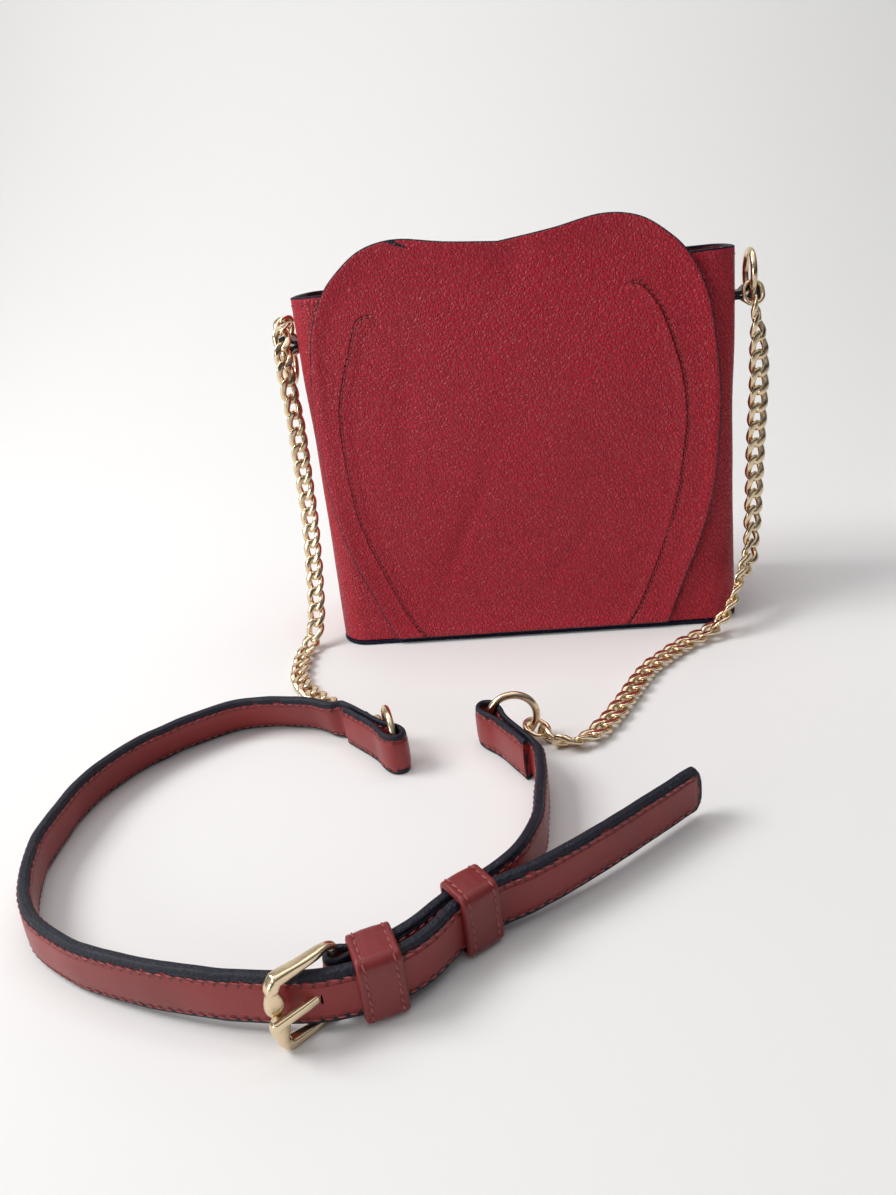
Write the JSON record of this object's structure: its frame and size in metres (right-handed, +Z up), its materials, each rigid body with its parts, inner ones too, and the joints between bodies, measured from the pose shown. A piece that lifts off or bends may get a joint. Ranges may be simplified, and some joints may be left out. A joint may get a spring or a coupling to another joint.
{
  "type": "handbag",
  "caption": "Small red crossbody handbag with a petal-shaped front panel, gold curb chains and a buckled leather strap laid out in front.",
  "frame": {"origin": "middle of the bag's flat base, on the surface it stands on", "axes": "+X to the bag's right as seen from its front, +Y towards its back, +Z up"},
  "size_m": [0.3106, 0.3414, 0.2016],
  "materials": {
    "pebbled_leather": "pebbled grain, semi-matte",
    "strap_leather": "smooth, lightly waxed",
    "painted_edge": "glossy painted edge",
    "lining_cloth": "plain weave",
    "gold_metal": "polished pale gold plating",
    "stiffener": "plain board"
  },
  "bodies": {
    "bag": {"back_body_panel": "pebbled_leather", "back_facing": "strap_leather", "base_board": "stiffener", "base_panel": "painted_edge", "fixed_keeper": "strap_leather", "front_body_panel": "pebbled_leather", "front_facing": "strap_leather", "left_chain_run_1": "gold_metal", "left_chain_run_2": "gold_metal", "left_chain_run_3": "gold_metal", "left_chain_run_4": "gold_metal", "left_chain_run_5": "gold_metal", "left_chain_run_6": "gold_metal", "left_chain_run_7": "gold_metal", "left_chain_run_8": "gold_metal", "left_chain_run_9": "gold_metal", "left_gusset": "pebbled_leather", "left_ring_tab": "painted_edge", "left_strap_end_link": "gold_metal", "left_top_end_link": "gold_metal", "lining": "lining_cloth", "long_strap": "strap_leather", "petal_panel": "pebbled_leather", "right_chain_run_1": "gold_metal", "right_chain_run_2": "gold_metal", "right_chain_run_3": "gold_metal", "right_chain_run_4": "gold_metal", "right_chain_run_5": "gold_metal", "right_chain_run_6": "gold_metal", "right_chain_run_7": "gold_metal", "right_chain_run_8": "gold_metal", "right_chain_run_9": "gold_metal", "right_gusset": "pebbled_leather", "right_ring_tab": "painted_edge", "right_strap_end_link": "gold_metal", "right_top_end_link": "gold_metal", "short_strap": "strap_leather", "snap_back": "gold_metal", "snap_front": "gold_metal"},
    "left_ring": {"left_side_ring": "gold_metal"},
    "right_ring": {"right_side_ring": "gold_metal"},
    "long_strap_ring": {"strap_ring_left": "gold_metal"},
    "short_strap_ring": {"strap_ring_right": "gold_metal"},
    "buckle": {"buckle_frame": "gold_metal"},
    "prong": {"buckle_prong": "gold_metal"},
    "sliding_loop": {"sliding_keeper": "strap_leather"}
  },
  "joints": [
    {"name": "left_ring_swing", "type": "hinge", "parent": "bag", "child": "left_ring", "pos_m": [-0.1165, 0, 0.157], "axis": [0, 1, 0], "range_deg": [0, 18]},
    {"name": "right_ring_swing", "type": "hinge", "parent": "bag", "child": "right_ring", "pos_m": [0.1165, 0, 0.157], "axis": [0, 1, 0], "range_deg": [0, 18]},
    {"name": "long_strap_ring_turn", "type": "hinge", "parent": "bag", "child": "long_strap_ring", "pos_m": [-0.05571, -0.15909, 0.0118], "axis": [0, 0, 1], "range_deg": [-1, 2.5]},
    {"name": "short_strap_ring_turn", "type": "hinge", "parent": "bag", "child": "short_strap_ring", "pos_m": [-0.01725, -0.14341, 0.0118], "axis": [0, 0, 1], "range_deg": [-2.5, 1]},
    {"name": "buckle_lift", "type": "hinge", "parent": "bag", "child": "buckle", "pos_m": [-0.05319, -0.28191, 0.0132], "axis": [0, 0, 1], "range_deg": [0, 5]},
    {"name": "prong_lift", "type": "hinge", "parent": "buckle", "child": "prong", "pos_m": [-0.05319, -0.28191, 0.0132], "axis": [0, 0, 1], "range_deg": [0, 5]},
    {"name": "keeper_slide", "type": "slide", "parent": "bag", "child": "sliding_loop", "axis": [0.766, 0.6428, 0], "range_m": [-0.0015, 0.0015]}
  ]
}
